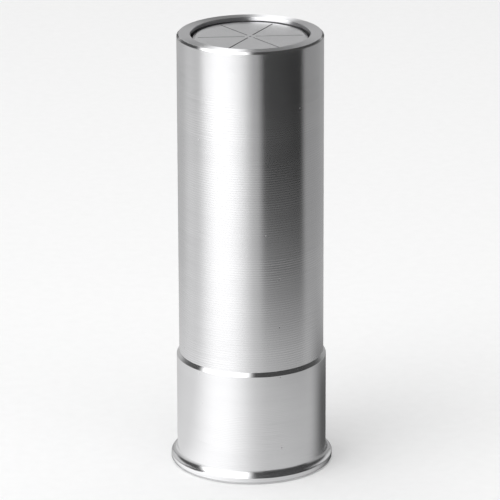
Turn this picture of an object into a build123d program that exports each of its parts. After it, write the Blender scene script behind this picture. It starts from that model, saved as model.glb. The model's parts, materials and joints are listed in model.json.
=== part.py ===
from build123d import *

import os
from math import asin, cos, radians, sin

# Cartridge-shaped take-apart puzzle vault, closed and ready to be pulled apart.
#
# A rimmed head carries a fixed vault core. The hull sleeve slides over that core and is held by
# a bayonet. Loose lock pins in the head drop into a fluted tumbler that turns with the sleeve,
# so the sleeve turns only while the pins are flung outwards. The core's lid is the six-line disc
# at the top. Millimetres, +Z up, origin at the middle of the base. The sleeve stands at its open
# angle, and the lock pins are held out.

os.makedirs("parts", exist_ok=True)

# ---- driving dimensions -------------------------------------------------------------------
HULL_R = 15.0  # outside of the hull sleeve
OVERALL_H = 91.8
HEAD_R = 15.54
RIM_R = 16.83
RIM_EDGE_H = 1.4  # the rim's straight outer edge, below the cove
SEAM_Z = 23.85  # where the sleeve's shoulder sits on the head

# ---- edges, gaps and cuts -----------------------------------------------------------------
EDGE_BREAK = 0.15
LEAD_IN = 0.3
FIT_GAP = 0.02  # between pieces that are assembled and stay still
PRESS_GAP = 0.01  # on the radius of pins that are pressed in
RUN_GAP = 0.05  # axial play between pieces that turn on each other
WASHER_GAP = 0.1  # on the radius of the washers
CUT_OVER = 1.0  # how far a cut runs past the surface it opens
NEAR = 0.01  # how close a size has to be to pick an edge by it

# ---- head ---------------------------------------------------------------------------------
HEAD_CHAMFER = (0.54, 0.8)  # radial, axial
BASE_ROUND = 0.3
FLOOR_Z = 6.5
HEAD_BORE_R = 13.6
HEAD_GROOVE_R = 14.42
HEAD_GROOVE_Z = (22.3, 23.3)
REGISTER_DEPTH = 0.5  # of the recess that centres the core

# ---- primer -------------------------------------------------------------------------------
PRIMER_R = 5.8
PRIMER_DEPTH = 1.8
PRIMER_SINK = 0.12  # clear of what the base stands on
CAP_R = 3.4
CAP_ROUND = 0.6

# ---- core screw, washer and dowels --------------------------------------------------------
COUNTERBORE_R = 3.75
COUNTERBORE_Z = 4.7
SCREW_HOLE_R = 2.2
SCREW_R = 2.0
SCREW_HEAD_R = 3.5
SCREW_HEAD_Z = (2.0, 4.2)
SCREW_END_Z = 15.0
SOCKET_R = 1.45  # across the corners of the hexagon socket, as a radius
SOCKET_DEPTH = 1.3
THREAD_GAP = 0.03
SPRING_WASHER_R = 3.6
SPRING_WASHER_SPLIT = 0.6
DOWEL_R = 0.75
DOWEL_RING_R = 4.1
DOWEL_Z = (5.1, 8.9)
DOWEL_ROOM = 0.2  # above the dowels

# ---- core and its vault -------------------------------------------------------------------
CORE_R = 11.85
STUB_R = 5.5
SHOULDER_Z = 15.5
CORE_TOP_Z = 88.5
CORE_GROOVE_R = 11.1
CORE_GROOVE_Z = (84.6, 85.6)
VAULT_R = 9.0
VAULT_FLOOR_Z = 23.0
PAD_THICKNESS = 0.9
PAD_GAP = 0.2

# ---- sleeve -------------------------------------------------------------------------------
SLEEVE_BORE_R = 11.95
SKIRT_R = 13.52
SKIRT_Z = 15.9
RECESS_R = 12.2
RECESS_DEPTH = 2.5
TOP_CHAMFER = 0.4
MOUTH_BREAK = 0.1

# ---- lid ----------------------------------------------------------------------------------
LID_R = 11.7
LID_SINK = 0.7  # below the sleeve's top face
LID_BEVEL = 0.6
LID_WEB = 0.5  # how far the plug's hollow stays below the disc
PLUG_R = 8.92
PLUG_DEPTH = 6.0
PLUG_HOLLOW_R = 6.4
LID_GROOVE_R = 8.0
LID_GROOVE_Z = (84.9, 86.1)
LID_LINES = 6
LINE_TURN = 4.5  # degrees that the six lines are turned from +X
LINE_WIDTH = 0.26
LINE_DEPTH = 0.13
LINE_SPAN = (1.1, 10.7)  # radii between which each line runs
CENTRE_TAPER = 30  # degrees, of the centre mark
KNURLS = 60
KNURL_R = 0.16
KNURL_MARGIN = (0.5, 0.35)  # plain bands under and over the knurl

# ---- rubber rings -------------------------------------------------------------------------
HEAD_RING_R = 0.43  # radius of each ring's round section
CORE_RING_R = 0.41
LID_RING_R = 0.48

# ---- tumbler ------------------------------------------------------------------------------
TUMBLER_TURN = 60.0  # degrees from open to locked
HUB_R = 8.4
HUB_Z = 7.0
HUB_BORE_R = 5.6
FLANGE_R = 13.42
FLANGE_Z = (13.5, 15.1)
FLUTES = 6
FLUTE_R = 1.4
FLUTE_AXIS_R = 8.1
SLIP_WASHER_R = 11.45

# ---- dogs that make the tumbler turn with the sleeve --------------------------------------
DOG_ANGLES = (60.0, 240.0)
DOG_HALF = 7.0  # degrees
DOG_R = 12.05
DOG_TOP_Z = 18.4
DOG_ROOT = 0.4  # how far a dog reaches into the flange
NOTCH_HALF = 7.6
NOTCH_ROOM = 0.25  # above a dog

# ---- cage and lock pins -------------------------------------------------------------------
CAGE_BORE_R = 8.6
CAGE_R = 13.58
CAGE_TOP_Z = 13.3
PIN_R = 1.2
PIN_LENGTH = 3.2
PIN_HOLE_R = 1.3
PIN_SLOPE = 12.0  # degrees
PIN_MID_Z = 9.9
PIN_HOME_R = 11.7  # radius of a held-out pin's middle
PIN_ANGLES = ((0.0, 1), (60.0, -1), (180.0, 1), (240.0, -1))  # angle, +1 rises outwards

# ---- bayonet ------------------------------------------------------------------------------
BAYONET_ANGLES = (0.0, 180.0)
BAYONET_Z = 20.8
BAYONET_PIN_R = 1.0
BAYONET_ROOT_R = 7.0
BAYONET_TIP_R = 13.35
SLOT_HALF = 1.15
WALL_CUT = 3.0  # length of a cut through the skirt's wall

# ---- detent -------------------------------------------------------------------------------
BALL_R = 1.25
BALL_HOLE_R = 1.3
BALL_HOLE_Z = 8.6
BALL_RING_R = 10.9
BALL_ANGLE = 30.0
BALL_LIFT = 0.45
DIMPLE_R = 1.32
SPRING_R = 0.85
SPRING_WIRE_R = 0.16
SPRING_TURNS = 4

# ---- worked out ---------------------------------------------------------------------------
COVE_R = RIM_R - HEAD_R
LID_TOP_Z = OVERALL_H - LID_SINK
PLUG_Z = CORE_TOP_Z - PLUG_DEPTH
SKIRT_MID_R = (SLEEVE_BORE_R + SKIRT_R) / 2
NOTCH_TOP_Z = DOG_TOP_Z + NOTCH_ROOM
CAGE_MID_R = (CAGE_R + CAGE_BORE_R) / 2
REGISTER_Z = FLOOR_Z - REGISTER_DEPTH
BALL_Z = CAGE_TOP_Z - BALL_R - FIT_GAP  # middle of the ball when pressed down


def polar(radius, angle):
    """The X and Y of a point at that radius and angle in degrees."""
    return radius * cos(radians(angle)), radius * sin(radians(angle))


def upright(angle):
    """The vertical plane through Z whose own X runs outwards at that angle."""
    x, y = polar(1, angle)
    return Plane(origin=(0, 0, 0), x_dir=(x, y, 0), z_dir=(y, -x, 0))


def radial(angle, radius, z, slope=0.0):
    """A plane that faces outwards at that angle, and upwards by the slope in degrees."""
    x, y = polar(1, angle)
    flat, rise = polar(1, slope)
    return Plane(
        origin=(*polar(radius, angle), z),
        x_dir=(-y, x, 0),
        z_dir=(x * flat, y * flat, rise),
    )


def circles(part, radius, z=None):
    """The part's round edges of that radius, and at that height if one is given."""
    found = part.edges().filter_by(GeomType.CIRCLE)
    found = found.filter_by(lambda edge: abs(edge.radius - radius) < NEAR)
    if z is not None:
        found = found.filter_by(lambda edge: abs(edge.center().Z - z) < NEAR)
    return found


def save(shape, name):
    shape.label = name
    export_step(shape, f"parts/{name}.step")


# ---- head shell: rimmed cup with a coved rim and a chamfered lip ----------------------------
with BuildPart() as head_shell:
    with BuildSketch(Plane.XZ):
        with BuildLine():
            rim_top = (RIM_R, RIM_EDGE_H)
            wall_foot = (HEAD_R, RIM_EDGE_H + COVE_R)
            Line((0, 0), (RIM_R, 0))
            Line((RIM_R, 0), rim_top)
            RadiusArc(rim_top, wall_foot, COVE_R)
            Polyline(
                wall_foot,
                (HEAD_R, SEAM_Z - HEAD_CHAMFER[1]),
                (HEAD_R - HEAD_CHAMFER[0], SEAM_Z),
                (0, SEAM_Z),
                (0, 0),
            )
        make_face()
    revolve(axis=Axis.Z)
    fillet(circles(head_shell, RIM_R, 0), BASE_ROUND)
    fillet(circles(head_shell, RIM_R, RIM_EDGE_H), EDGE_BREAK)
    with BuildSketch(Plane.XY.offset(FLOOR_Z)):
        Circle(HEAD_BORE_R)
    extrude(amount=SEAM_Z - FLOOR_Z, mode=Mode.SUBTRACT)
    with BuildSketch(Plane.XY.offset(REGISTER_Z)):
        Circle(STUB_R + FIT_GAP)
    extrude(amount=REGISTER_DEPTH, mode=Mode.SUBTRACT)
    for hole_r, hole_depth in (
        (SCREW_HOLE_R, FLOOR_Z),
        (COUNTERBORE_R, COUNTERBORE_Z),
        (PRIMER_R, PRIMER_DEPTH),
    ):
        with BuildSketch(Plane.XY):
            Circle(hole_r)
        extrude(amount=hole_depth, mode=Mode.SUBTRACT)
    with BuildSketch(Plane.XY.offset(HEAD_GROOVE_Z[0])):
        Circle(HEAD_GROOVE_R)
    extrude(amount=HEAD_GROOVE_Z[1] - HEAD_GROOVE_Z[0], mode=Mode.SUBTRACT)
    with BuildSketch(Plane.XY.offset(DOWEL_Z[0])):
        with PolarLocations(DOWEL_RING_R, 2, start_angle=90):
            Circle(DOWEL_R)
    extrude(amount=FLOOR_Z - DOWEL_Z[0], mode=Mode.SUBTRACT)
    chamfer(circles(head_shell, HEAD_BORE_R, SEAM_Z), LEAD_IN)
save(head_shell.part, "head_shell")

# ---- primer: a cup flange round a domed cap, pressed into the base --------------------------
with BuildPart() as primer_cup:
    with BuildSketch(Plane.XY.offset(PRIMER_SINK)):
        Circle(PRIMER_R - FIT_GAP)
        Circle(CAP_R + FIT_GAP, mode=Mode.SUBTRACT)
    extrude(amount=PRIMER_DEPTH - PRIMER_SINK - FIT_GAP)
    chamfer(primer_cup.edges().filter_by(GeomType.CIRCLE).group_by(Axis.Z)[0], EDGE_BREAK)
save(primer_cup.part, "primer_cup")

with BuildPart() as primer_cap:
    with BuildSketch(Plane.XY.offset(PRIMER_SINK * 2)):
        Circle(CAP_R)
    extrude(amount=PRIMER_DEPTH - PRIMER_SINK * 2 - FIT_GAP)
    fillet(primer_cap.edges().filter_by(GeomType.CIRCLE).group_by(Axis.Z)[0], CAP_ROUND)
save(primer_cap.part, "primer_cap")

# ---- core screw, its washer and the two dowels that stop the core turning -------------------
with BuildPart() as core_screw:
    with BuildSketch(Plane.XY.offset(SCREW_HEAD_Z[0])):
        Circle(SCREW_HEAD_R)
    extrude(amount=SCREW_HEAD_Z[1] - SCREW_HEAD_Z[0])
    chamfer(circles(core_screw, SCREW_HEAD_R, SCREW_HEAD_Z[0]), LEAD_IN)
    with BuildSketch(Plane.XY.offset(SCREW_HEAD_Z[1])):
        Circle(SCREW_R)
    extrude(amount=SCREW_END_Z - SCREW_HEAD_Z[1])
    chamfer(circles(core_screw, SCREW_R, SCREW_END_Z), LEAD_IN)
    with BuildSketch(Plane.XY.offset(SCREW_HEAD_Z[0])):
        RegularPolygon(SOCKET_R, 6)
    extrude(amount=SOCKET_DEPTH, mode=Mode.SUBTRACT)
save(core_screw.part, "core_screw")

with BuildPart() as screw_washer:
    with BuildSketch(Plane.XY.offset(SCREW_HEAD_Z[1])):
        Circle(SPRING_WASHER_R)
        Circle(SCREW_HOLE_R, mode=Mode.SUBTRACT)
        with Locations(((SPRING_WASHER_R + SCREW_HOLE_R) / 2, 0)):
            Rectangle(SPRING_WASHER_R, SPRING_WASHER_SPLIT, mode=Mode.SUBTRACT)
    extrude(amount=COUNTERBORE_Z - SCREW_HEAD_Z[1])
save(screw_washer.part, "screw_washer")

with BuildPart() as core_dowels:
    with BuildSketch(Plane.XY.offset(DOWEL_Z[0])):
        with PolarLocations(DOWEL_RING_R, 2, start_angle=90):
            Circle(DOWEL_R - PRESS_GAP)
    extrude(amount=DOWEL_Z[1] - DOWEL_Z[0])
    chamfer(core_dowels.edges().filter_by(GeomType.CIRCLE), EDGE_BREAK)
save(core_dowels.part, "core_dowels")

# ---- vault core: stub, solid web and the tube that holds the vault --------------------------
with BuildPart() as vault_core:
    with BuildSketch(Plane.XY.offset(REGISTER_Z)):
        Circle(STUB_R)
    extrude(amount=SHOULDER_Z - REGISTER_Z)
    with BuildSketch(Plane.XY.offset(SHOULDER_Z)):
        Circle(CORE_R)
    extrude(amount=CORE_TOP_Z - SHOULDER_Z)
    chamfer(circles(vault_core, CORE_R), LEAD_IN)
    with BuildSketch(Plane.XY.offset(VAULT_FLOOR_Z)):
        Circle(VAULT_R)
    extrude(amount=CORE_TOP_Z - VAULT_FLOOR_Z, mode=Mode.SUBTRACT)
    chamfer(circles(vault_core, VAULT_R, CORE_TOP_Z), LEAD_IN)
    with BuildSketch(Plane.XY.offset(CORE_GROOVE_Z[0])):
        Circle(CORE_R + CUT_OVER)
        Circle(CORE_GROOVE_R, mode=Mode.SUBTRACT)
    extrude(amount=CORE_GROOVE_Z[1] - CORE_GROOVE_Z[0], mode=Mode.SUBTRACT)
    with BuildSketch(Plane.XY.offset(REGISTER_Z)):
        Circle(SCREW_R + THREAD_GAP)
    extrude(amount=SCREW_END_Z + CUT_OVER - REGISTER_Z, mode=Mode.SUBTRACT)
    with BuildSketch(Plane.XY.offset(REGISTER_Z)):
        with PolarLocations(DOWEL_RING_R, 2, start_angle=90):
            Circle(DOWEL_R)
    extrude(amount=DOWEL_Z[1] + DOWEL_ROOM - REGISTER_Z, mode=Mode.SUBTRACT)
    for angle in BAYONET_ANGLES:
        with BuildSketch(radial(angle, BAYONET_ROOT_R, BAYONET_Z)):
            Circle(BAYONET_PIN_R)
        extrude(amount=CORE_R, mode=Mode.SUBTRACT)
save(vault_core.part, "vault_core")

with BuildPart() as bayonet_pins:
    for angle in BAYONET_ANGLES:
        with BuildSketch(radial(angle, BAYONET_ROOT_R + FIT_GAP, BAYONET_Z)):
            Circle(BAYONET_PIN_R - PRESS_GAP)
        extrude(amount=BAYONET_TIP_R - BAYONET_ROOT_R - FIT_GAP)
    chamfer(bayonet_pins.edges().filter_by(GeomType.CIRCLE), EDGE_BREAK)
save(bayonet_pins.part, "bayonet_pins")

with BuildPart() as vault_pad:
    with BuildSketch(Plane.XY.offset(VAULT_FLOOR_Z)):
        Circle(VAULT_R - PAD_GAP)
    extrude(amount=PAD_THICKNESS)
    fillet(vault_pad.edges().filter_by(GeomType.CIRCLE).group_by(Axis.Z)[-1], LEAD_IN)
save(vault_pad.part, "vault_pad")


# ---- rubber rings ---------------------------------------------------------------------------
def rubber_ring(name, middle_r, section_r, groove_z):
    """A ring of round section, halfway up its groove."""
    with BuildPart() as ring:
        with BuildSketch(Plane.XZ):
            with Locations((middle_r, sum(groove_z) / 2)):
                Circle(section_r)
        revolve(axis=Axis.Z)
    save(ring.part, name)


rubber_ring("head_o_ring", HEAD_GROOVE_R - HEAD_RING_R - PRESS_GAP, HEAD_RING_R, HEAD_GROOVE_Z)
rubber_ring("core_o_ring", CORE_GROOVE_R + CORE_RING_R + PRESS_GAP, CORE_RING_R, CORE_GROOVE_Z)
rubber_ring("lid_o_ring", LID_GROOVE_R + LID_RING_R + PRESS_GAP, LID_RING_R, LID_GROOVE_Z)

# ---- crimp lid: bevelled disc with six scribed lines, knurled edge and a hollow plug ---------
KNURL_Z = (CORE_TOP_Z + KNURL_MARGIN[0], LID_TOP_Z - LID_BEVEL - KNURL_MARGIN[1])
with BuildPart() as crimp_lid:
    with BuildSketch(Plane.XY.offset(CORE_TOP_Z)):
        Circle(LID_R)
    extrude(amount=LID_TOP_Z - CORE_TOP_Z)
    chamfer(circles(crimp_lid, LID_R, LID_TOP_Z), LID_BEVEL)
    with BuildSketch(Plane.XY.offset(KNURL_Z[0])):
        with PolarLocations(LID_R, KNURLS):
            Circle(KNURL_R)
    extrude(amount=KNURL_Z[1] - KNURL_Z[0], mode=Mode.SUBTRACT)
    with BuildSketch(Plane.XY.offset(PLUG_Z)):
        Circle(PLUG_R)
    extrude(amount=PLUG_DEPTH)
    chamfer(circles(crimp_lid, PLUG_R, PLUG_Z), LEAD_IN)
    with BuildSketch(Plane.XY.offset(PLUG_Z)):
        Circle(PLUG_HOLLOW_R)
    extrude(amount=PLUG_DEPTH - LID_WEB, mode=Mode.SUBTRACT)
    with BuildSketch(Plane.XY.offset(LID_GROOVE_Z[0])):
        Circle(PLUG_R + CUT_OVER)
        Circle(LID_GROOVE_R, mode=Mode.SUBTRACT)
    extrude(amount=LID_GROOVE_Z[1] - LID_GROOVE_Z[0], mode=Mode.SUBTRACT)
    for line in range(LID_LINES):
        with BuildSketch(radial(LINE_TURN + line * 360 / LID_LINES, LINE_SPAN[0], LID_TOP_Z)):
            with BuildLine():
                Polyline(
                    (-LINE_WIDTH / 2, 0.0),
                    (LINE_WIDTH / 2, 0.0),
                    (0, -LINE_DEPTH),
                    (-LINE_WIDTH / 2, 0.0),
                )
            make_face()
        extrude(amount=LINE_SPAN[1] - LINE_SPAN[0], mode=Mode.SUBTRACT)
    with BuildSketch(Plane.XY.offset(LID_TOP_Z)):
        Circle(LINE_WIDTH)
    extrude(amount=-LINE_DEPTH, taper=CENTRE_TAPER, mode=Mode.SUBTRACT)
save(crimp_lid.part, "crimp_lid")

# ---- hull sleeve: tube with a recessed mouth, and a skirt with bayonet slots and notches -----
with BuildPart() as hull_sleeve:
    with BuildSketch(Plane.XY.offset(SKIRT_Z)):
        Circle(SKIRT_R)
    extrude(amount=SEAM_Z - SKIRT_Z)
    with BuildSketch(Plane.XY.offset(SEAM_Z)):
        Circle(HULL_R)
    extrude(amount=OVERALL_H - SEAM_Z)
    with BuildSketch(Plane.XY.offset(SKIRT_Z)):
        Circle(SLEEVE_BORE_R)
    extrude(amount=OVERALL_H - SKIRT_Z, mode=Mode.SUBTRACT)
    with BuildSketch(Plane.XY.offset(OVERALL_H - RECESS_DEPTH)):
        Circle(RECESS_R)
    extrude(amount=RECESS_DEPTH, mode=Mode.SUBTRACT)
    chamfer(circles(hull_sleeve, HULL_R, OVERALL_H), TOP_CHAMFER)
    chamfer(circles(hull_sleeve, RECESS_R, OVERALL_H), MOUTH_BREAK)
    chamfer(circles(hull_sleeve, SKIRT_R, SKIRT_Z), LEAD_IN)
    for angle in BAYONET_ANGLES:
        with BuildSketch(radial(angle, SKIRT_MID_R - WALL_CUT / 2, SKIRT_Z)):
            with Locations((0, (BAYONET_Z - SKIRT_Z) / 2)):
                Rectangle(SLOT_HALF * 2, BAYONET_Z - SKIRT_Z)
        extrude(amount=WALL_CUT, mode=Mode.SUBTRACT)
        with BuildSketch(upright(angle - TUMBLER_TURN)):
            with Locations((SKIRT_MID_R, BAYONET_Z)):
                Rectangle(WALL_CUT, SLOT_HALF * 2)
        revolve(axis=Axis.Z, revolution_arc=TUMBLER_TURN, mode=Mode.SUBTRACT)
        for end in (angle, angle - TUMBLER_TURN):
            with BuildSketch(radial(end, SKIRT_MID_R - WALL_CUT / 2, BAYONET_Z)):
                Circle(SLOT_HALF)
            extrude(amount=WALL_CUT, mode=Mode.SUBTRACT)
    for angle in DOG_ANGLES:
        with BuildSketch(upright(angle - NOTCH_HALF)):
            with Locations((SKIRT_MID_R, (SKIRT_Z - CUT_OVER + NOTCH_TOP_Z) / 2)):
                Rectangle(WALL_CUT, NOTCH_TOP_Z - SKIRT_Z + CUT_OVER)
        revolve(axis=Axis.Z, revolution_arc=2 * NOTCH_HALF, mode=Mode.SUBTRACT)
save(hull_sleeve.part, "hull_sleeve")

# ---- tumbler: fluted hub, flange with two detent dimples and two dogs ------------------------
DOG_LOW_Z = FLANGE_Z[1] - DOG_ROOT
with BuildPart() as tumbler_ring:
    with BuildSketch(Plane.XY.offset(HUB_Z)):
        Circle(HUB_R)
    extrude(amount=FLANGE_Z[0] - HUB_Z)
    with BuildSketch(Plane.XY.offset(HUB_Z)):
        with PolarLocations(FLUTE_AXIS_R, FLUTES):
            Circle(FLUTE_R)
            with Locations((FLUTE_R, 0)):
                Rectangle(FLUTE_R * 2, FLUTE_R * 2)
    extrude(amount=FLANGE_Z[0] - HUB_Z, mode=Mode.SUBTRACT)
    with BuildSketch(Plane.XY.offset(FLANGE_Z[0])):
        Circle(FLANGE_R)
    extrude(amount=FLANGE_Z[1] - FLANGE_Z[0])
    chamfer(circles(tumbler_ring, FLANGE_R), EDGE_BREAK)
    for angle in DOG_ANGLES:
        with BuildSketch(upright(angle - DOG_HALF)):
            with Locations(((DOG_R + FLANGE_R) / 2, (DOG_LOW_Z + DOG_TOP_Z) / 2)):
                Rectangle(FLANGE_R - DOG_R, DOG_TOP_Z - DOG_LOW_Z)
        revolve(axis=Axis.Z, revolution_arc=2 * DOG_HALF)
    with BuildSketch(Plane.XY.offset(HUB_Z)):
        Circle(HUB_BORE_R)
    extrude(amount=DOG_TOP_Z - HUB_Z, mode=Mode.SUBTRACT)
    for angle in (BALL_ANGLE, BALL_ANGLE - TUMBLER_TURN):
        with Locations((*polar(BALL_RING_R, angle), BALL_Z + BALL_LIFT + FIT_GAP)):
            Sphere(DIMPLE_R, mode=Mode.SUBTRACT)
save(tumbler_ring.part, "tumbler_ring")

# ---- washers under and over the tumbler ------------------------------------------------------
with BuildPart() as thrust_washer:
    with BuildSketch(Plane.XY.offset(FLOOR_Z)):
        Circle(HUB_R - WASHER_GAP)
        Circle(HUB_BORE_R + WASHER_GAP, mode=Mode.SUBTRACT)
    extrude(amount=HUB_Z - FLOOR_Z - RUN_GAP)
save(thrust_washer.part, "thrust_washer")

with BuildPart() as slip_washer:
    with BuildSketch(Plane.XY.offset(FLANGE_Z[1] + RUN_GAP)):
        Circle(SLIP_WASHER_R)
        Circle(STUB_R + WASHER_GAP, mode=Mode.SUBTRACT)
    extrude(amount=SHOULDER_Z - FLANGE_Z[1] - RUN_GAP)
save(slip_washer.part, "slip_washer")

# ---- pin cage: ring with four sloping pin holes and the detent's blind hole -----------------
with BuildPart() as pin_cage:
    with BuildSketch(Plane.XY.offset(FLOOR_Z)):
        Circle(CAGE_R)
        Circle(CAGE_BORE_R, mode=Mode.SUBTRACT)
    extrude(amount=CAGE_TOP_Z - FLOOR_Z)
    chamfer(pin_cage.edges().filter_by(GeomType.CIRCLE).group_by(Axis.Z)[-1], EDGE_BREAK)
    for angle, rises in PIN_ANGLES:
        with BuildSketch(radial(angle, CAGE_MID_R, PIN_MID_Z, rises * PIN_SLOPE)):
            Circle(PIN_HOLE_R)
        extrude(amount=CAGE_R - CAGE_MID_R + CUT_OVER * 2, both=True, mode=Mode.SUBTRACT)
    with BuildSketch(Plane.XY.offset(BALL_HOLE_Z)):
        with Locations(polar(BALL_RING_R, BALL_ANGLE)):
            Circle(BALL_HOLE_R)
    extrude(amount=CAGE_TOP_Z - BALL_HOLE_Z, mode=Mode.SUBTRACT)
save(pin_cage.part, "pin_cage")

# ---- lock pins, each lying held out in its sloping hole --------------------------------------
pin_shift = (PIN_HOME_R - CAGE_MID_R) / cos(radians(PIN_SLOPE))
for number, (angle, rises) in enumerate(PIN_ANGLES, 1):
    pin_plane = radial(angle, CAGE_MID_R, PIN_MID_Z, rises * PIN_SLOPE)
    with BuildPart() as lock_pin:
        with BuildSketch(pin_plane.offset(pin_shift - PIN_LENGTH / 2)):
            Circle(PIN_R)
        extrude(amount=PIN_LENGTH)
        chamfer(lock_pin.edges().filter_by(GeomType.CIRCLE), LEAD_IN)
    save(lock_pin.part, f"lock_pin_{number}")

# ---- detent ball and its spring --------------------------------------------------------------
ball_x, ball_y = polar(BALL_RING_R, BALL_ANGLE)
with BuildPart() as detent_ball:
    with Locations((ball_x, ball_y, BALL_Z)):
        Sphere(BALL_R)
save(detent_ball.part, "detent_ball")

spring_low = BALL_HOLE_Z + SPRING_WIRE_R + FIT_GAP
seat_angle = asin(SPRING_R / (BALL_R + SPRING_WIRE_R))
spring_high = BALL_Z - (BALL_R + SPRING_WIRE_R) * cos(seat_angle) - FIT_GAP
with BuildPart() as detent_spring:
    with BuildLine(Plane.XY.offset(spring_low)):
        coil = Helix(
            pitch=(spring_high - spring_low) / SPRING_TURNS,
            height=spring_high - spring_low,
            radius=SPRING_R,
        )
    with BuildSketch(Plane(origin=coil @ 0, z_dir=coil % 0)):
        Circle(SPRING_WIRE_R)
    sweep(path=coil)
save(detent_spring.part.moved(Location((ball_x, ball_y, 0))), "detent_spring")
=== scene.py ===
import json
import math

import bmesh
import bpy
from mathutils import Matrix, Vector


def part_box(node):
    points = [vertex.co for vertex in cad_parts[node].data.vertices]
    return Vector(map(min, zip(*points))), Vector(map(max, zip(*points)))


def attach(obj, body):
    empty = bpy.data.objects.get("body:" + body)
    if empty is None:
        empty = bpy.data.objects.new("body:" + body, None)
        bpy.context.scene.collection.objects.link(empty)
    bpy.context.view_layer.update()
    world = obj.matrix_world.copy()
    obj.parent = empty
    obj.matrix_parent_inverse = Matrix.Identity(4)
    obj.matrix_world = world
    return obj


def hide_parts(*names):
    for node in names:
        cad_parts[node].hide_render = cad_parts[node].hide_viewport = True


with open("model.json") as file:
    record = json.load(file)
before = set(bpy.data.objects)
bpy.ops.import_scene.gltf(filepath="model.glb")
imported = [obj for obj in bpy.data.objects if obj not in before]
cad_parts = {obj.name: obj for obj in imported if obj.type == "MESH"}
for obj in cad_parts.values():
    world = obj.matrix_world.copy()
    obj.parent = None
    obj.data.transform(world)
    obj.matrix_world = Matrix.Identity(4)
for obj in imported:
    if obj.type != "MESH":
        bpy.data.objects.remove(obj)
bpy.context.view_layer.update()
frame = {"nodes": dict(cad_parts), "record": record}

# Turned-metal puzzle vault in the shape of a cartridge. The frame gives every place; the shapes
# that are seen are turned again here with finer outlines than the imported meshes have. The sizes
# that outlines and cuts are made from are in millimetres, and everything else is in metres.

MM = 0.001
SEGMENTS = 288  # facets round a turned piece
ARC_STEPS = 6  # facets across a rounded corner
EDGE_SUPPORT = 0.4  # how far past a rounding its supporting point lies, in the rounding's reach
ON_AXIS = 1e-7  # a radius below this is a point on the axis
SHARP_EDGE = 20  # degrees above which an edge of a turned piece stays sharp
SHARP_CAD_EDGE = 30  # the same for a piece carried over from the CAD


def between(ends, step, steps):
    """The angle in radians at one of the even steps between two angles in degrees."""
    return math.radians(ends[0] + (ends[1] - ends[0]) * step / steps)


# ---- outlines ------------------------------------------------------------------------------
def arc(start, end, centre, steps):
    """Points of the arc from start to end round centre, in the outline's plane."""
    spoke = start - centre
    sweep = spoke.angle_signed(end - centre)
    points = []
    for step in range(steps + 1):
        turned = spoke.copy()
        turned.rotate(Matrix.Rotation(-sweep * step / steps, 2))
        points.append(centre + turned)
    return points


def rounded(corners):
    """A closed outline in metres from corners of (radius, height, rounding) in millimetres. Each
    rounding gets a supporting point on either side, so that the flats beside it shade flat."""
    made = []
    count = len(corners)
    for index, (radius, height, rounding) in enumerate(corners):
        here = Vector((radius, height))
        if rounding <= 0:
            made.append(here)
            continue
        before = (Vector(corners[index - 1][:2]) - here).normalized()
        after = (Vector(corners[(index + 1) % count][:2]) - here).normalized()
        half = before.angle(after) / 2
        reach = rounding / math.tan(half)
        centre = here + (before + after).normalized() * (rounding / math.sin(half))
        start = here + before * reach
        end = here + after * reach
        made.append(start + before * reach * EDGE_SUPPORT)
        made += arc(start, end, centre, ARC_STEPS)
        made.append(end + after * reach * EDGE_SUPPORT)
    return [(point.x * MM, point.y * MM) for point in made]


def shade(obj, degrees=SHARP_EDGE):
    """Smooth shading that keeps edges sharper than the angle."""
    obj.data.polygons.foreach_set("use_smooth", [True] * len(obj.data.polygons))
    obj.data.set_sharp_from_angle(angle=math.radians(degrees))
    obj.data.update()


def linked(name, mesh, material):
    """A new object in the scene, of that mesh and material."""
    obj = bpy.data.objects.new(name, mesh)
    bpy.context.scene.collection.objects.link(obj)
    mesh.materials.append(material)
    return obj


def lathe(name, outline, material):
    """A closed solid of revolution about Z from an outline of (radius, height) in metres."""
    mesh = bpy.data.meshes.new(name)
    shape = bmesh.new()
    rings = []
    for radius, height in outline:
        if radius < ON_AXIS:
            rings.append([shape.verts.new((0, 0, height))])
            continue
        turns = [2 * math.pi * k / SEGMENTS for k in range(SEGMENTS)]
        rings.append(
            [
                shape.verts.new((radius * math.cos(turn), radius * math.sin(turn), height))
                for turn in turns
            ]
        )
    for low, high in zip(rings, rings[1:] + rings[:1]):
        if len(low) == 1 and len(high) == 1:
            continue
        for k in range(SEGMENTS):
            following = (k + 1) % SEGMENTS
            corners = [low[k % len(low)], low[following % len(low)]]
            corners += [high[following % len(high)], high[k % len(high)]]
            shape.faces.new(list(dict.fromkeys(corners)))
    bmesh.ops.recalc_face_normals(shape, faces=shape.faces)
    shape.to_mesh(mesh)
    shape.free()
    obj = linked(name, mesh, material)
    shade(obj)
    return obj


def tube_between(loops):
    """Joins loops of points, each with as many as the others, into a closed bar."""
    shape = bmesh.new()
    rings = [[shape.verts.new(point) for point in loop] for loop in loops]
    count = len(rings[0])
    for here, following in zip(rings, rings[1:]):
        for k in range(count):
            beside = (k + 1) % count
            shape.faces.new([here[k], here[beside], following[beside], following[k]])
    shape.faces.new(rings[0][::-1])
    shape.faces.new(rings[-1])
    bmesh.ops.recalc_face_normals(shape, faces=shape.faces)
    return shape


def wedge(radii, heights, angles, steps=24):
    """A block between two radii, two heights and two angles (degrees), as a cutter."""
    inner, outer = radii
    low, high = heights
    loops = []
    for step in range(steps + 1):
        angle = between(angles, step, steps)
        section = ((inner, low), (outer, low), (outer, high), (inner, high))
        loops.append([(r * math.cos(angle), r * math.sin(angle), z) for r, z in section])
    return tube_between(loops)


def turn_about_z(shape, degrees):
    turn = Matrix.Rotation(math.radians(degrees), 3, "Z")
    bmesh.ops.rotate(shape, verts=shape.verts, matrix=turn)


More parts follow.
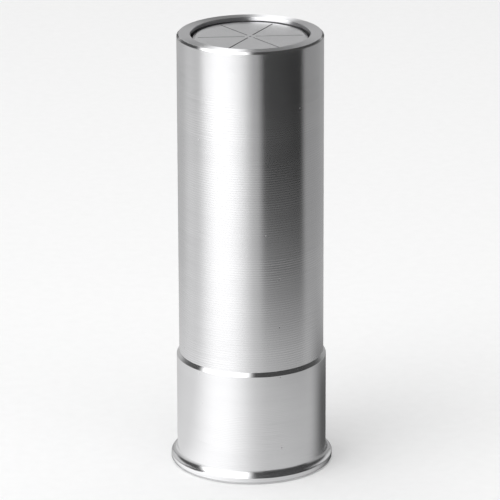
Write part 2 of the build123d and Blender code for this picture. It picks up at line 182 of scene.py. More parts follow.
def peg(radius, reach, angle, height, steps=32):
    """A round bar that points outwards at that angle and height, as a cutter."""
    shape = bmesh.new()
    bmesh.ops.create_cone(
        shape,
        cap_ends=True,
        segments=steps,
        radius1=radius,
        radius2=radius,
        depth=reach[1] - reach[0],
    )
    bmesh.ops.rotate(shape, verts=shape.verts, matrix=Matrix.Rotation(math.pi / 2, 3, "Y"))
    bmesh.ops.translate(shape, verts=shape.verts, vec=((reach[0] + reach[1]) / 2, 0, height))
    turn_about_z(shape, angle)
    return shape


def cut(obj, shapes, material=None):
    """Takes each shape out of the object's mesh. The new faces can have their own material."""
    for number, shape in enumerate(shapes):
        mesh = bpy.data.meshes.new(f"cutter_{number}")
        shape.to_mesh(mesh)
        shape.free()
        if material:
            mesh.materials.append(material)
        cutter = bpy.data.objects.new(mesh.name, mesh)
        bpy.context.scene.collection.objects.link(cutter)
        modifier = obj.modifiers.new("cut", "BOOLEAN")
        modifier.object = cutter
        modifier.operation = "DIFFERENCE"
        modifier.solver = "EXACT"
        modifier.material_mode = "TRANSFER" if material else "INDEX"
        bpy.context.view_layer.update()
        graph = bpy.context.evaluated_depsgraph_get()
        result = bpy.data.meshes.new_from_object(obj.evaluated_get(graph))
        obj.modifiers.remove(modifier)
        obj.data = result
        bpy.data.objects.remove(cutter)
    shade(obj)


# ---- materials -----------------------------------------------------------------------------
# A noise of the turned metal has a pitch along the profile and a drift round the axis. The lower
# the drift is, the longer its rings run.
WANDER = (3 * MM, 30.0)
WANDER_PHASE = 2.5  # radians by which the feed marks stray from even
FADE = (5 * MM, 30.0)
FADE_RANGE = (0.4, 0.6)
FADE_STRENGTHS = (0.3, 1.0)
STRAY_RINGS = (0.8 * MM, 60.0)
STRAY_HEIGHT = 0.5
FEED_TONE = 0.8
STRAY_TONE = 0.3
COMB = (4 * MM, 450.0)  # one length of ring is about 2 mm
SCRATCHES = (0.22 * MM, 130.0)
SCRATCH_PATCHES = 70.0
SCRATCH_RANGE = (0.35, 0.41)
SCRATCH_DEPTH = 0.001 * MM
SPECK_CELLS = 300.0
SPECK_EDGE = (0.03, 0.055)  # the speck's radius and its soft edge's, as shares of a cell
SPECK_CHANCE = 0.72  # share of the cells that have no speck
SPECK_DEPTH = 0.03 * MM
GLOSS_SCALE = 45.0
ROUND_THE_AXIS = 0.25  # turns of the tangent that lay the stretched highlight across the rings
NOISE_RANGE = (0.3, 0.7)  # most of a noise lies between these
COARSE_RANGE = (0.2, 0.8)
EVEN_SPREAD = (0.9, 1.1)  # lowest and highest roughness, as shares of the material's
GROUND_SPREAD = (0.8, 1.25)
MOULDED_SPREAD = (0.9, 1.0)
GROUND_CLOUD = 240.0
GROUND_GRAIN = 4200.0
GROUND_DEPTH = 0.0015 * MM
BEAD_GRAIN = 7000.0
BEAD_CLOUD = 160.0
BEAD_DEPTH = 0.004 * MM
MOULDED_CLOUD = 300.0
COARSE = 0.7  # how rough a noise's own detail is, for beads and moulded grain

MATERIALS = {}


def spread(roughness, shares):
    return (roughness * shares[0], roughness * shares[1])


class Nodes:
    """Short calls for building one material's node tree."""

    def __init__(self, name):
        self.material = bpy.data.materials.new(name)
        self.material.use_nodes = True
        self.tree = self.material.node_tree
        self.shader = self.tree.nodes["Principled BSDF"]

    def add(self, kind, **settings):
        node = self.tree.nodes.new(kind)
        for key, value in settings.items():
            setattr(node, key, value)
        return node

    def put(self, socket, value):
        if isinstance(value, bpy.types.NodeSocket):
            self.tree.links.new(value, socket)
        else:
            socket.default_value = value

    def surface(self, name, value):
        """Gives one input of the shader its value or its link."""
        self.put(self.shader.inputs[name], value)

    def math(self, operation, first, second=0.0):
        node = self.add("ShaderNodeMath", operation=operation)
        self.put(node.inputs[0], first)
        self.put(node.inputs[1], second)
        return node.outputs[0]

    def noise(self, vector, scale, detail=2.0, roughness=0.5):
        node = self.add("ShaderNodeTexNoise")
        self.put(node.inputs["Vector"], vector)
        node.inputs["Scale"].default_value = scale
        node.inputs["Detail"].default_value = detail
        node.inputs["Roughness"].default_value = roughness
        return node.outputs["Fac"]

    def remap(self, value, given, wanted):
        """Turns the given low and high of a value into the wanted ones."""
        node = self.add("ShaderNodeMapRange")
        self.put(node.inputs["Value"], value)
        node.inputs["From Min"].default_value = given[0]
        node.inputs["From Max"].default_value = given[1]
        node.inputs["To Min"].default_value = wanted[0]
        node.inputs["To Max"].default_value = wanted[1]
        return node.outputs[0]

    def tint(self, value, dark, light):
        node = self.add("ShaderNodeMix", data_type="RGBA")
        self.put(node.inputs["Factor"], value)
        node.inputs["A"].default_value = (*dark, 1)
        node.inputs["B"].default_value = (*light, 1)
        return node.outputs["Result"]

    def bump(self, height, distance, below=None):
        node = self.add("ShaderNodeBump")
        self.put(node.inputs["Height"], height)
        node.inputs["Distance"].default_value = distance
        node.inputs["Strength"].default_value = 1.0
        if below is not None:
            self.put(node.inputs["Normal"], below)
        return node.outputs[0]

    def place(self):
        return self.add("ShaderNodeTexCoord").outputs["Object"]

    def profile(self):
        """How far along the turned profile a point lies: its radius plus its height."""
        apart = self.add("ShaderNodeSeparateXYZ")
        self.put(apart.inputs[0], self.place())
        across = self.math("MULTIPLY", apart.outputs[0], apart.outputs[0])
        along = self.math("MULTIPLY", apart.outputs[1], apart.outputs[1])
        radius = self.math("SQRT", self.math("ADD", across, along))
        return self.math("ADD", radius, apart.outputs[2]), apart

    def turned_noise(self, pitch, drift, detail=2.0):
        """Noise that changes once per pitch along the profile and slowly round the axis."""
        profile, apart = self.profile()
        together = self.add("ShaderNodeCombineXYZ")
        self.put(together.inputs[0], self.math("MULTIPLY", apart.outputs[0], drift))
        self.put(together.inputs[1], self.math("MULTIPLY", apart.outputs[1], drift))
        self.put(together.inputs[2], self.math("MULTIPLY", profile, 1 / pitch))
        return self.noise(together.outputs[0], 1.0, detail=detail)

    def feed_marks(self, pitch):
        """The even rings that a lathe tool leaves, from 0 to 1, once per pitch."""
        profile, _ = self.profile()
        wander = self.math("MULTIPLY", self.turned_noise(*WANDER), WANDER_PHASE)
        turn = self.math("ADD", self.math("MULTIPLY", profile, 2 * math.pi / pitch), wander)
        return self.math("ADD", self.math("MULTIPLY", self.math("SINE", turn), 0.5), 0.5)

    def specks(self):
        """Small round pits in a few cells, from 0 to 1."""
        cells = self.add("ShaderNodeTexVoronoi", feature="F1")
        self.put(cells.inputs["Vector"], self.place())
        cells.inputs["Scale"].default_value = SPECK_CELLS
        chance = self.add("ShaderNodeSeparateXYZ")
        self.put(chance.inputs[0], cells.outputs["Color"])
        spot = self.remap(cells.outputs["Distance"], SPECK_EDGE, (1.0, 0.0))
        few = self.math("GREATER_THAN", chance.outputs[0], SPECK_CHANCE)
        return self.math("MULTIPLY", spot, few)


def turned_metal(
    name,
    dark,
    light,
    roughness,
    anisotropy=0.9,
    pitch=0.38 * MM,
    depth=0.0006 * MM,
    comb=0.0,
    scratches=0.0,
    specks=0.0,
):
    """Lathe-turned metal: even feed marks, fainter stray rings, a few scratches and specks.
    The comb tilts short lengths of each ring, so that they break up the edges of reflections."""
    n = Nodes(name)
    feed = n.feed_marks(pitch)
    strength = n.remap(n.turned_noise(*FADE), FADE_RANGE, FADE_STRENGTHS)
    feed = n.math("MULTIPLY", feed, strength)
    stray = n.turned_noise(*STRAY_RINGS)
    wide = n.noise(n.place(), GLOSS_SCALE)
    feed_tone = n.math("MULTIPLY", feed, FEED_TONE)
    tone = n.math("ADD", feed_tone, n.math("MULTIPLY", stray, STRAY_TONE))
    gloss = n.remap(wide, NOISE_RANGE, EVEN_SPREAD)
    rings = n.math("ADD", feed, n.math("MULTIPLY", stray, STRAY_HEIGHT))
    normal = n.bump(rings, depth)
    if comb:
        lengths = n.turned_noise(*COMB, detail=1.0)
        normal = n.bump(n.math("MULTIPLY", feed, lengths), comb, below=normal)
    if scratches:
        lines = n.turned_noise(*SCRATCHES, detail=1.0)
        patches = n.noise(n.place(), SCRATCH_PATCHES, detail=1.0)
        streak = n.remap(n.math("MULTIPLY", lines, patches), SCRATCH_RANGE, (0.0, 1.0))
        tone = n.math("SUBTRACT", tone, n.math("MULTIPLY", streak, scratches))
        normal = n.bump(streak, -SCRATCH_DEPTH, below=normal)
    if specks:
        spot = n.specks()
        gloss = n.math("ADD", gloss, n.math("MULTIPLY", spot, specks))
        normal = n.bump(spot, -SPECK_DEPTH, below=normal)
    n.surface("Base Color", n.tint(tone, dark, light))
    n.surface("Metallic", 1.0)
    n.surface("Roughness", n.math("MULTIPLY", gloss, roughness))
    n.surface("Anisotropic", anisotropy)
    tangent = n.add("ShaderNodeTangent", direction_type="RADIAL", axis="Z")
    n.surface("Tangent", tangent.outputs[0])
    n.surface("Anisotropic Rotation", ROUND_THE_AXIS)
    n.surface("Normal", normal)
    MATERIALS[name] = n.material


def ground_metal(name, dark, light, roughness):
    """Ground or polished steel and wire: faint cloudy colour and a fine even grain."""
    n = Nodes(name)
    cloud = n.noise(n.place(), GROUND_CLOUD, detail=4.0)
    grain = n.noise(n.place(), GROUND_GRAIN, detail=2.0)
    n.surface("Base Color", n.tint(cloud, dark, light))
    n.surface("Metallic", 1.0)
    n.surface("Roughness", n.remap(cloud, NOISE_RANGE, spread(roughness, GROUND_SPREAD)))
    n.surface("Normal", n.bump(grain, GROUND_DEPTH))
    MATERIALS[name] = n.material


def blasted_metal(name, dark, light, roughness):
    """Bead-blasted aluminium: an even matte grain of tiny dimples, with faint clouding."""
    n = Nodes(name)
    beads = n.noise(n.place(), BEAD_GRAIN, detail=3.0, roughness=COARSE)
    cloud = n.noise(n.place(), BEAD_CLOUD, detail=3.0)
    n.surface("Base Color", n.tint(cloud, dark, light))
    n.surface("Metallic", 1.0)
    n.surface("Roughness", n.remap(beads, NOISE_RANGE, spread(roughness, EVEN_SPREAD)))
    n.surface("Normal", n.bump(beads, BEAD_DEPTH))
    MATERIALS[name] = n.material


def moulded(name, dark, light, roughness, grain_scale, grain_depth, sheen=0.0):
    """Nylon, rubber or felt: cloudy colour over a fine grain."""
    n = Nodes(name)
    cloud = n.noise(n.place(), MOULDED_CLOUD, detail=4.0)
    grain = n.noise(n.place(), grain_scale, detail=4.0, roughness=COARSE)
    n.surface("Base Color", n.tint(n.math("MULTIPLY", cloud, grain), dark, light))
    n.surface("Roughness", n.remap(grain, COARSE_RANGE, spread(roughness, MOULDED_SPREAD)))
    n.surface("Sheen Weight", sheen)
    n.surface("Normal", n.bump(grain, grain_depth))
    MATERIALS[name] = n.material


# Each material has its name, the dark and the light of its colour, its roughness, and then what
# sets it apart.
turned_metal(
    "turned_aluminium",
    (0.86, 0.86, 0.87),
    (0.95, 0.95, 0.96),
    0.22,
    pitch=0.5 * MM,
    comb=0.006 * MM,
    scratches=0.7,
    specks=1.6,
)
turned_metal(
    "polished_aluminium",
    (0.88, 0.88, 0.89),
    (0.94, 0.94, 0.95),
    0.20,
    depth=0.0002 * MM,
    scratches=0.7,
    specks=1.0,
)
turned_metal("bright_aluminium", (0.78, 0.78, 0.80), (0.90, 0.90, 0.92), 0.24, pitch=0.45 * MM)
turned_metal("machined_brass", (0.66, 0.46, 0.18), (0.90, 0.70, 0.36), 0.32, pitch=0.45 * MM)
blasted_metal("blasted_aluminium", (0.64, 0.64, 0.65), (0.72, 0.72, 0.73), 0.30)
turned_metal("faced_aluminium", (0.72, 0.72, 0.73), (0.82, 0.82, 0.83), 0.36, anisotropy=1.0)
turned_metal("bored_aluminium", (0.84, 0.84, 0.85), (0.94, 0.94, 0.95), 0.32, anisotropy=1.0)
# Besides the scribed lines' own dark colour, this material is painted shade in the crevice round
# the lid.
blasted_metal("scribed_line_and_crevice_shade", (0.16, 0.16, 0.165), (0.28, 0.28, 0.285), 0.60)
ground_metal("hard_steel", (0.50, 0.51, 0.53), (0.66, 0.67, 0.69), 0.16)
ground_metal("spring_steel", (0.36, 0.36, 0.38), (0.50, 0.50, 0.52), 0.36)
ground_metal("zinc_steel", (0.56, 0.57, 0.58), (0.70, 0.70, 0.69), 0.36)
ground_metal("black_oxide", (0.045, 0.045, 0.05), (0.09, 0.09, 0.10), 0.42)
moulded(
    "nylon",
    (0.70, 0.69, 0.63),
    (0.90, 0.89, 0.84),
    0.55,
    grain_scale=2600.0,
    grain_depth=0.01 * MM,
)
moulded(
    "black_rubber",
    (0.012, 0.012, 0.013),
    (0.045, 0.045, 0.048),
    0.62,
    grain_scale=3200.0,
    grain_depth=0.012 * MM,
)
moulded(
    "felt",
    (0.035, 0.035, 0.05),
    (0.16, 0.16, 0.20),
    0.95,
    grain_scale=2200.0,
    grain_depth=0.12 * MM,
    sheen=0.4,
)
SLOTS = {entry["node"]: entry["material_slot"] for entry in frame["record"]["subparts"]}

# ---- carried-over CAD pieces ---------------------------------------------------------------
for node, obj in frame["nodes"].items():
    obj.data.materials.clear()
    obj.data.materials.append(MATERIALS[SLOTS[node]])
    shade(obj, SHARP_CAD_EDGE)


def stand_for(obj, node, body):
    """The new piece takes the place and the body of a CAD node."""
    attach(obj, body)
    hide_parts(node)


# ---- sizes from the frame ------------------------------------------------------------------
sleeve_low, sleeve_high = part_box("hull_sleeve")
_, head_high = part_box("head_shell")
lid_low, lid_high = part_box("crimp_lid")
_, core_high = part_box("vault_core")
SKIRT_Z = sleeve_low.z / MM
TOP_Z = sleeve_high.z / MM
HULL_R = sleeve_high.x / MM
SEAM_Z = head_high.z / MM
RIM_R = head_high.x / MM
LID_R = lid_high.x / MM
LID_Z = lid_high.z / MM
CORE_Z = core_high.z / MM

# ---- hull sleeve ---------------------------------------------------------------------------
SKIRT_R = 13.52
SKIRT_BREAK = 0.3
BORE_R = 11.95
RECESS_R = 12.2
RECESS_DEPTH = 2.5
RECESS_BREAK = 0.1
MOUTH_BREAK = 0.4
PIN_Z = 20.8
SLOT_HALF = 1.15
PIN_ANGLES = (0.0, 180.0)
DOG_ANGLES = (60.0, 240.0)
NOTCH_HALF = 7.6
NOTCH_TOP_Z = 18.65
LOCK_TURN = 60.0
CUT_INSIDE = 1.0  # how far the cutters reach into the bore and below the skirt
CUT_OUTSIDE = 0.4
BORED_R = RECESS_R + 0.05  # the faces within it are those of the bore and the recess
FLAT_Z = TOP_Z - 0.01  # the faces above it are those of the mouth's flat
RECESS_Z = TOP_Z - RECESS_DEPTH

# radius, height and rounding of each corner
sleeve_outline = rounded(
    [
        (BORE_R, SKIRT_Z, 0.05),
        (SKIRT_R - SKIRT_BREAK, SKIRT_Z, 0.08),
        (SKIRT_R, SKIRT_Z + SKIRT_BREAK, 0.08),
        (SKIRT_R, SEAM_Z, 0.02),
        (HULL_R, SEAM_Z, 0.06),
        (HULL_R, TOP_Z - MOUTH_BREAK, 0.14),
        (HULL_R - MOUTH_BREAK, TOP_Z, 0.10),
        (RECESS_R + RECESS_BREAK, TOP_Z, 0.05),
        (RECESS_R, TOP_Z - RECESS_BREAK, 0.05),
        (RECESS_R, LID_Z, 0),
        (RECESS_R, RECESS_Z, 0.08),
        (BORE_R, RECESS_Z, 0.05),
    ]
)
sleeve = lathe("sleeve_tube", sleeve_outline, MATERIALS["turned_aluminium"])
slot_walls = ((BORE_R - CUT_INSIDE) * MM, (SKIRT_R + CUT_OUTSIDE) * MM)
below_skirt = (SKIRT_Z - CUT_INSIDE) * MM
slot_run = ((PIN_Z - SLOT_HALF) * MM, (PIN_Z + SLOT_HALF) * MM)
half_angle = math.degrees(math.asin(SLOT_HALF / BORE_R))
sleeve_cuts = []
for angle in PIN_ANGLES:
    column = (angle - half_angle, angle + half_angle)
    sleeve_cuts.append(wedge(slot_walls, (below_skirt, PIN_Z * MM), column, steps=4))
    sleeve_cuts.append(wedge(slot_walls, slot_run, (angle - LOCK_TURN, angle)))
    for end in (angle, angle - LOCK_TURN):
        sleeve_cuts.append(peg(SLOT_HALF * MM, slot_walls, end, PIN_Z * MM))
for angle in DOG_ANGLES:
    notch = (angle - NOTCH_HALF, angle + NOTCH_HALF)
    sleeve_cuts.append(wedge(slot_walls, (below_skirt, NOTCH_TOP_Z * MM), notch, steps=8))
cut(sleeve, sleeve_cuts)
for finish in ("bored_aluminium", "faced_aluminium", "scribed_line_and_crevice_shade"):
    sleeve.data.materials.append(MATERIALS[finish])
bored_finish = sleeve.data.materials.find("bored_aluminium")
faced_finish = sleeve.data.materials.find("faced_aluminium")
shadow_finish = sleeve.data.materials.find("scribed_line_and_crevice_shade")
for face in sleeve.data.polygons:
    bored = face.center.xy.length < BORED_R * MM
    if bored:
        face.material_index = bored_finish
    if face.center.z > FLAT_Z * MM:
        face.material_index = faced_finish
    # Painted shade: the lower recess wall, in the crevice round the lid, takes the dark line
    # material.
    if bored and (RECESS_Z - RECESS_BREAK) * MM < face.center.z < LID_Z * MM:
        face.material_index = shadow_finish
stand_for(sleeve, "hull_sleeve", "sleeve")

# ---- head cup ------------------------------------------------------------------------------
HEAD_R = 15.54
HEAD_CHAMFER = (0.54, 0.8)  # radial, axial
RIM_EDGE_H = 1.4
COVE_R = RIM_R - HEAD_R
COVE_Z = RIM_EDGE_H + COVE_R
COVE_STEPS = 14
HEAD_BORE_R = 13.6
HEAD_BORE_BREAK = 0.3
HEAD_GROOVE_R = 14.42
HEAD_GROOVE_Z = (22.3, 23.3)
FLOOR_Z = 6.5
FLOOR_STEP_R = 5.52
FLOOR_STEP_Z = FLOOR_Z - 0.5
SCREW_HOLE_R = 2.2
COUNTERBORE_R = 3.75
COUNTERBORE_Z = 4.7
PRIMER_R = 5.8
PRIMER_Z = 1.8
cove_start = Vector((RIM_R, RIM_EDGE_H))
cove_end = Vector((HEAD_R, COVE_Z))
cove = arc(cove_start, cove_end, Vector((RIM_R, COVE_Z)), COVE_STEPS)
head_outline = rounded(
    [
        (SCREW_HOLE_R, COUNTERBORE_Z, 0),
        (COUNTERBORE_R, COUNTERBORE_Z, 0),
        (COUNTERBORE_R, PRIMER_Z, 0.05),
        (PRIMER_R, PRIMER_Z, 0),
        (PRIMER_R, 0.0, 0.10),
        (RIM_R, 0.0, 0.30),
        (RIM_R, RIM_EDGE_H, 0.15),
        *[(point.x, point.y, 0) for point in cove[1:-1]],
        (HEAD_R, COVE_Z, 0),
        (HEAD_R, SEAM_Z - HEAD_CHAMFER[1], 0.25),
        (HEAD_R - HEAD_CHAMFER[0], SEAM_Z, 0.12),
        (HEAD_BORE_R + HEAD_BORE_BREAK, SEAM_Z, 0.05),
        (HEAD_BORE_R, SEAM_Z - HEAD_BORE_BREAK, 0.05),
        (HEAD_BORE_R, HEAD_GROOVE_Z[1], 0),
        (HEAD_GROOVE_R, HEAD_GROOVE_Z[1], 0),
        (HEAD_GROOVE_R, HEAD_GROOVE_Z[0], 0),
        (HEAD_BORE_R, HEAD_GROOVE_Z[0], 0),
        (HEAD_BORE_R, FLOOR_Z, 0),
        (FLOOR_STEP_R, FLOOR_Z, 0.2),
        (FLOOR_STEP_R, FLOOR_STEP_Z, 0),
        (SCREW_HOLE_R, FLOOR_STEP_Z, 0),
    ]
)
head = lathe("head_cup", head_outline, MATERIALS["polished_aluminium"])
stand_for(head, "head_shell", "base")

# ---- lid -----------------------------------------------------------------------------------
LINE_DEPTH = 0.13
CENTRE_R = 0.26
LID_BEVEL = 0.6
BEVEL_DROP = 0.2
BEVEL_R = LID_R - 0.04  # the faces beyond it are the lid's edge
PLUG_R = 8.92
PLUG_BREAK = 0.3
PLUG_LOW_Z = lid_low.z / MM
PLUG_HOLLOW_R = 6.4
PLUG_HOLLOW_Z = CORE_Z - 0.5
LID_GROOVE_R = 8.0
LID_GROOVE_Z = (84.9, 86.1)
lid_outline = rounded(
    [
        (CENTRE_R, LID_Z, 0),
        (0.0, LID_Z - LINE_DEPTH, 0),
        (0.0, PLUG_HOLLOW_Z, 0),
        (PLUG_HOLLOW_R, PLUG_HOLLOW_Z, 0.2),
        (PLUG_HOLLOW_R, PLUG_LOW_Z, 0.05),
        (PLUG_R - PLUG_BREAK, PLUG_LOW_Z, 0.05),
        (PLUG_R, PLUG_LOW_Z + PLUG_BREAK, 0.05),
        (PLUG_R, LID_GROOVE_Z[0], 0),
        (LID_GROOVE_R, LID_GROOVE_Z[0], 0),
        (LID_GROOVE_R, LID_GROOVE_Z[1], 0),
        (PLUG_R, LID_GROOVE_Z[1], 0),
        (PLUG_R, CORE_Z, 0),
        (LID_R, CORE_Z, 0.05),
        (LID_R, LID_Z - BEVEL_DROP, 0.08),
        (LID_R - LID_BEVEL, LID_Z, 0.06),
    ]
)
lid = lathe("lid_disc", lid_outline, MATERIALS["blasted_aluminium"])
LINES = 6
LINE_TURN = 4.5
LINE_SPAN = (1.1, 10.7)
LINE_HALF = 0.195  # half the width of the cutter where it is widest, above the lid
LINE_RISE = 0.039


def groove(angle):
    """A V-section bar that scribes one line of the star."""
    section = ((-LINE_HALF, LINE_RISE), (LINE_HALF, LINE_RISE), (0, -LINE_DEPTH))
    shape = tube_between(
        [[(r * MM, y * MM, (LID_Z + z) * MM) for y, z in section] for r in LINE_SPAN]
    )
    turn_about_z(shape, angle)
    return shape


lines = [groove(LINE_TURN + k * 360 / LINES) for k in range(LINES)]
cut(lid, lines, MATERIALS["scribed_line_and_crevice_shade"])
line_and_edge_shade = lid.data.materials.find("scribed_line_and_crevice_shade")
for face in lid.data.polygons:
    reach = face.center.xy.length
    dot = reach < CENTRE_R * MM and face.center.z > (LID_Z - LINE_DEPTH) * MM
    # Painted shade: the lid's edge, in the crevice round it, takes the dark line material that
    # the grooves and the centre dot also have.
    if dot or reach > BEVEL_R * MM:
        face.material_index = line_and_edge_shade
stand_for(lid, "crimp_lid", "lid")

# ---- studio --------------------------------------------------------------------------------
# The object stands on a pale table in an evenly lit room that is a little brighter at the left.
# A white card stands at the front left and a dark one at the right, both with soft edges.
# Azimuths are in degrees, from the front towards the right. A card is the azimuth of its middle,
# half its width and the width of its edges.
WORLD_GREY = (0.5, 0.5, 0.5, 1)
WORLD_STRENGTH = 0.12
ROOM_LEVEL = 0.41
TABLE_LEVEL = 0.60
LEFT_SHARE = 0.12
FRONT_SHARE = 0.06  # how much brighter the table is in front than at the sides
WHITE_CARD = (-42, 30, 50)
WHITE_LEVEL = 0.64
PALE_CARD = (-105, 15, 24)  # a paler card further round to the left
PALE_LEVEL = 0.12
TABLE_WHITE = 0.55  # how much of the white card's light shows on the table close by
DARK_CARD = (52, 36, 14)
DARK_SHARE = 0.95
TABLE_BLUR = 44  # how much softer the dark card's edges get on the table, in degrees
BACK_SHADOW = (155, 33, 40)  # painted shadow: a dark patch on the mirrored table close behind, at the right
BACK_SHADOW_SHARE = 0.8
BACK_SHADOW_BESIDE = 0.0145  # how far beside the axis its edges point
BACK_SHADOW_END = (0.06, 0.11)
WALL_RADIUS = 0.215
WALL_HEIGHT = 0.075
WALL_FULL = 0.7  # share of the wall's height up to which it has all its light
WALL_TOP = 0.2  # share of the light at its top
TABLE_END = (0.06, 0.18)  # radii between which the table's light gives way to the cards'
CARD_STEPS = 180
TABLE_RADII = (0.0176, 0.023, 0.03, 0.04, 0.05, 0.06, 0.09, 0.12, 0.15, 0.18, 0.20)
# Painted contact shadow: close round the rim the mirrored table glows at only this share of its
# light.
CONTACT_SHADE_RADIUS = 0.017
CONTACT_SHADE_SHARE = 0.1
LIE = 0.1 * MM
VIEW_TILT = 18.52  # degrees that the camera looks down
OVERHEAD_MIDDLE = 0.06  # height that the arches and the back wall surround
ARCH_REACH = 0.6
ARCH_STEPS = 20
ARCH_EDGE = 4  # columns of the arch over which its sides fade
BACK_REACH = 0.75
BACK_STEPS = 16
BACK_FADE = (0.7, 1.0)  # shares of the back wall's width and height over which it fades
LIGHT_AIM = Vector((0, 0, 0.04))
FLOOR_DARK = (0.88, 0.88, 0.88)
FLOOR_LIGHT = (0.92, 0.92, 0.92)
FLOOR_SPECKLE = 400.0
FLOOR_ROUGHNESS = 0.9
FLOOR_SIZE = 4.0
CAMERA_PLACE = (-0.0002, -0.7511, 0.2970)
CAMERA_LENS = 276.04
CAMERA_SENSOR = 36.0
CAMERA_ROLL = 0.2  # degrees

scene = bpy.context.scene
scene.view_settings.view_transform = "Standard"
scene.view_settings.look = "None"

world = bpy.data.worlds.new("studio")
world.use_nodes = True
background = world.node_tree.nodes["Background"]
background.inputs["Color"].default_value = WORLD_GREY
background.inputs["Strength"].default_value = WORLD_STRENGTH
scene.world = world

glow = Nodes("reflector_card")
glow.surface("Base Color", (0, 0, 0, 1))
glow.surface("Specular IOR Level", 0.0)
glow.surface("Emission Color", (1, 1, 1, 1))
glow_level = glow.add("ShaderNodeAttribute", attribute_name="glow")
glow.surface("Emission Strength", glow_level.outputs["Fac"])


def sheet_of_light(name, rows, values):
    """A mesh card from rows of points, glowing by the value at each point. It shows only in
    reflections."""
    mesh = bpy.data.meshes.new(name)
    shape = bmesh.new()
    grid = [[shape.verts.new(point) for point in row] for row in rows]
    for low, high in zip(grid, grid[1:]):
        for k in range(len(low) - 1):
            shape.faces.new([low[k], low[k + 1], high[k + 1], high[k]])
    shape.to_mesh(mesh)
    shape.free()
    flat = [value for row in values for value in row]
    mesh.attributes.new("glow", "FLOAT", "POINT").data.foreach_set("value", flat)
    obj = linked(name, mesh, glow.material)
    obj.visible_camera = False
    obj.visible_diffuse = False
    obj.visible_shadow = False


def ease(value, low, high):
    """Rises smoothly from 0 at low to 1 at high."""
    share = min(max((value - low) / (high - low), 0.0), 1.0)
    return share * share * (3 - 2 * share)


def behind_card(azimuth, card):
    """How much of a card stands at that azimuth, from 0 to 1."""
    middle, half, edge = card
    off = abs((azimuth - middle + 180) % 360 - 180)
    return 1 - ease(off, half - edge / 2, half + edge / 2)


def level(azimuth, radius):
    """The light that comes from that side of the room, at that distance from the object."""
    far = ease(radius, *TABLE_END)
    side = -LEFT_SHARE * math.sin(math.radians(azimuth))
    white = WHITE_LEVEL * behind_card(azimuth, WHITE_CARD)
    pale = PALE_LEVEL * behind_card(azimuth, PALE_CARD)
    front = FRONT_SHARE * math.cos(math.radians(azimuth))
    middle, half, edge = DARK_CARD
    blur = TABLE_BLUR * (1 - far)
    dark = DARK_SHARE * behind_card(azimuth, (middle + blur / 4, half - blur / 4, edge + blur))
    # Painted shadow: the mirrored table is darker close behind the object, at the right.
    seen = azimuth + math.degrees(math.asin(min(BACK_SHADOW_BESIDE / radius, 1)))
    back = BACK_SHADOW_SHARE * behind_card(seen, BACK_SHADOW) * (1 - ease(radius, *BACK_SHADOW_END))
    table = (TABLE_LEVEL + side + front + TABLE_WHITE * white) * (1 - back)
    wall = (ROOM_LEVEL + side + white + pale) * (1 - dark)
    return table * (1 - far) + wall * far


# from behind the object round to behind it again
AZIMUTHS = [-180 + 360 * k / CARD_STEPS for k in range(CARD_STEPS + 1)]


def around(radius, height):
    """A level ring of points, one for each azimuth."""
    turns = [math.radians(azimuth) for azimuth in AZIMUTHS]
    return [(radius * math.sin(turn), -radius * math.cos(turn), height) for turn in turns]


def levels_around(radius, share=1.0):
    return [share * level(azimuth, radius) for azimuth in AZIMUTHS]


# The first ring of the mirrored table is the painted contact shadow.
surround_rows = [around(radius, LIE) for radius in (CONTACT_SHADE_RADIUS, *TABLE_RADII)]
surround_levels = [levels_around(CONTACT_SHADE_RADIUS, CONTACT_SHADE_SHARE)]
surround_levels += [levels_around(radius) for radius in TABLE_RADII]
for height, share in ((LIE, 1.0), (WALL_HEIGHT * WALL_FULL, 1.0), (WALL_HEIGHT, WALL_TOP)):
    surround_rows.append(around(WALL_RADIUS, height))
    surround_levels.append(levels_around(WALL_RADIUS, share))
sheet_of_light("card_surround", surround_rows, surround_levels)


def arch(name, turns, tilts, glow):
    """A tall softbox that leans over the object, where facets turned from the front and tilted
    from flat by those degrees mirror it. Its sides are soft."""
    tip = math.radians(VIEW_TILT)
    toward = Vector((0, -math.cos(tip), math.sin(tip)))
    middle = Vector((0, 0, OVERHEAD_MIDDLE))
    columns = range(ARCH_STEPS + 1)
    rows = []
    for row in range(ARCH_STEPS + 1):
        tilt = between(tilts, row, ARCH_STEPS)
        across = math.sin(tilt)
        points = []
        for column in columns:
            turn = between(turns, column, ARCH_STEPS)
            facet = Vector((math.sin(turn) * across, -math.cos(turn) * across, math.cos(tilt)))
            ray = facet * (2 * facet.dot(toward)) - toward
            points.append(tuple(ray * ARCH_REACH + middle))
        rows.append(points)
    line = [glow * ease(min(column, ARCH_STEPS - column), 0, ARCH_EDGE) for column in columns]
    sheet_of_light(name, rows, [line] * len(rows))


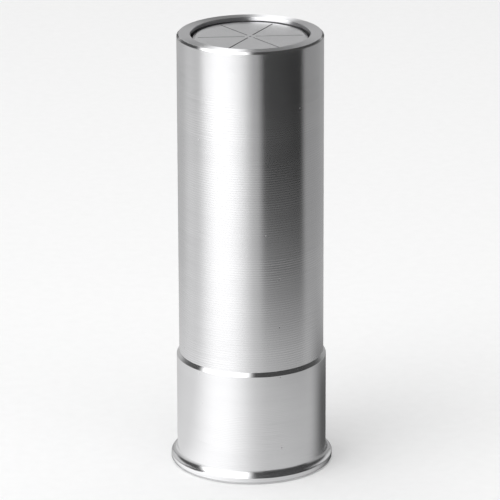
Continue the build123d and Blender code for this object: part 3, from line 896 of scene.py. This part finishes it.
def back_wall(name, half_width, rises, glow):
    """A pale wall behind the object, from one rise above the table to another in degrees."""
    sides = [2 * column / BACK_STEPS - 1 for column in range(BACK_STEPS + 1)]
    line = [glow * (1 - ease(abs(side), *BACK_FADE)) for side in sides]
    turns = [math.radians(half_width * side) for side in sides]
    rows = []
    values = []
    for row in range(BACK_STEPS + 1):
        rise = between(rises, row, BACK_STEPS)
        flat = BACK_REACH * math.cos(rise)
        height = OVERHEAD_MIDDLE + BACK_REACH * math.sin(rise)
        rows.append([(flat * math.sin(turn), flat * math.cos(turn), height) for turn in turns])
        values.append([value * (1 - ease(row / BACK_STEPS, *BACK_FADE)) for value in line])
    sheet_of_light(name, rows, values)


arch("card_arch", turns=(-46, 3), tilts=(30, 79), glow=2.0)
arch("card_arch_back", turns=(-37, -4), tilts=(6, 30), glow=1.8)
back_wall("card_wall", half_width=40, rises=(13, 52), glow=0.60)


def soft_light(name, place, size, power):
    """An area light that lights the floor and the dull pieces and shows in no reflection."""
    data = bpy.data.lights.new(name, "AREA")
    data.shape = "SQUARE"
    data.size = size
    data.energy = power
    obj = bpy.data.objects.new(name, data)
    scene.collection.objects.link(obj)
    obj.location = place
    obj.rotation_euler = (LIGHT_AIM - Vector(place)).to_track_quat("-Z", "Y").to_euler()
    obj.visible_glossy = False
    obj.visible_camera = False


soft_light("key", place=(-0.45, -0.35, 0.75), size=0.6, power=1.8)
soft_light("fill", place=(0.0, 0.0, 1.4), size=2.4, power=33.0)

paint = Nodes("pale_floor")
speckle = paint.noise(paint.place(), FLOOR_SPECKLE, detail=3.0)
paint.surface("Base Color", paint.tint(speckle, FLOOR_DARK, FLOOR_LIGHT))
paint.surface("Roughness", FLOOR_ROUGHNESS)
paint.surface("Specular IOR Level", 0.0)
floor_mesh = bpy.data.meshes.new("floor")
floor_shape = bmesh.new()
bmesh.ops.create_grid(floor_shape, x_segments=2, y_segments=2, size=FLOOR_SIZE)
floor_shape.to_mesh(floor_mesh)
floor_shape.free()
floor = linked("floor", floor_mesh, paint.material)

# ---- camera --------------------------------------------------------------------------------
camera_data = bpy.data.cameras.new("camera")
camera_data.lens = CAMERA_LENS
camera_data.sensor_width = CAMERA_SENSOR
camera = bpy.data.objects.new("camera", camera_data)
scene.collection.objects.link(camera)
camera.location = CAMERA_PLACE
tilted = Matrix.Rotation(math.radians(90 - VIEW_TILT), 4, "X")
rolled = Matrix.Rotation(-math.radians(CAMERA_ROLL), 4, "Z")
camera.rotation_euler = (tilted @ rolled).to_euler()
scene.camera = camera
